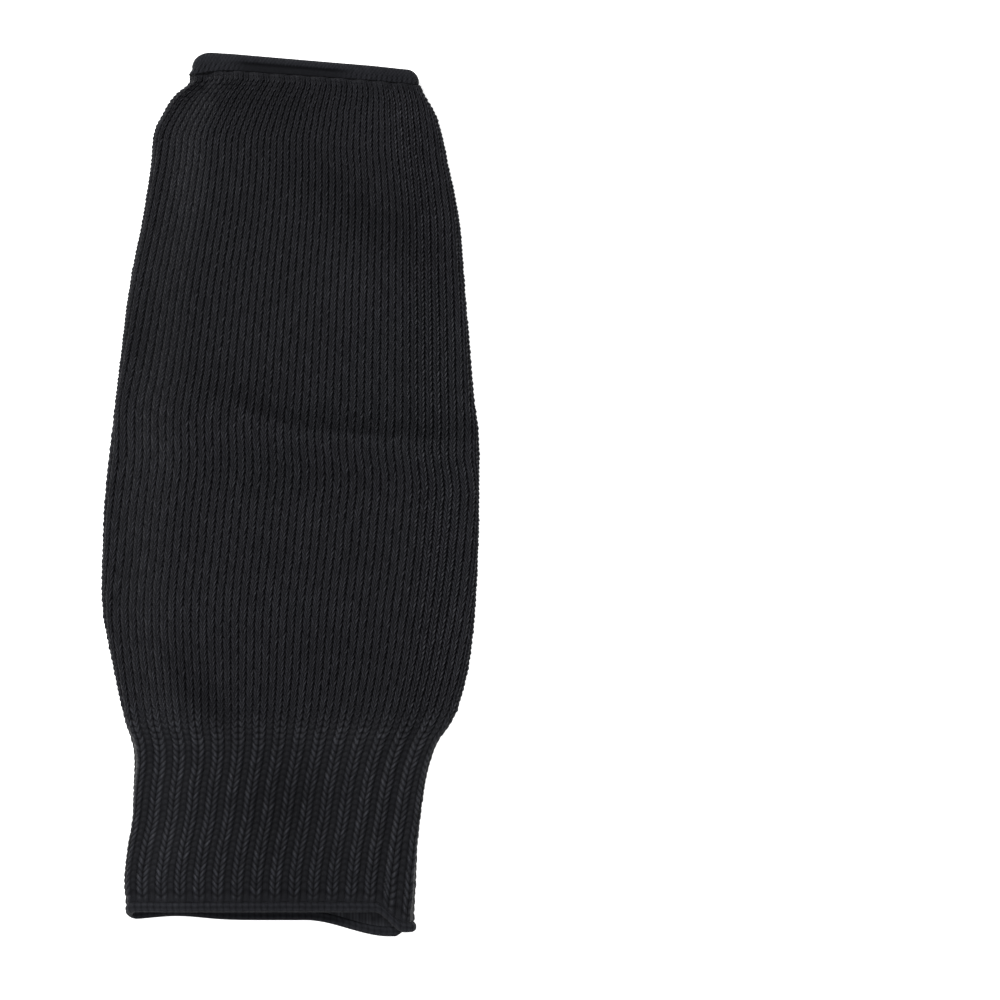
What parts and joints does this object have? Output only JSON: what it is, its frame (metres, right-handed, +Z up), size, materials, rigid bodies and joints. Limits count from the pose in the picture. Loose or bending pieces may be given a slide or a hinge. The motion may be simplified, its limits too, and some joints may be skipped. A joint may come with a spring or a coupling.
{
  "type": "cut resistant sleeve",
  "caption": "Knitted cut resistant arm sleeve lying flat: an open tapered tube with a rolled wrist hem, a ribbed upper-arm cuff and a bound cuff hem.",
  "frame": {"origin": "on the surface that the sleeve lies on, under the middle of its bounding box", "axes": "+X across the sleeve to the right as seen from above, +Y along the arm towards the wrist hem, +Z up out of the surface"},
  "size_m": [0.1494, 0.348, 0.0129],
  "materials": {
    "plain_knit": "black plain knit of matt plastic-and-steel yarn, seven stitches to the inch",
    "rib_knit": "black elastic rib knit, raised ribs with sunken valleys",
    "hem_knit": "black rolled and bound edge of fine close knit, a little lighter"
  },
  "bodies": {
    "root": {"sleeve_body": "plain_knit", "ribbed_cuff": "rib_knit", "wrist_hem": "hem_knit", "cuff_hem": "hem_knit"}
  },
  "joints": []
}
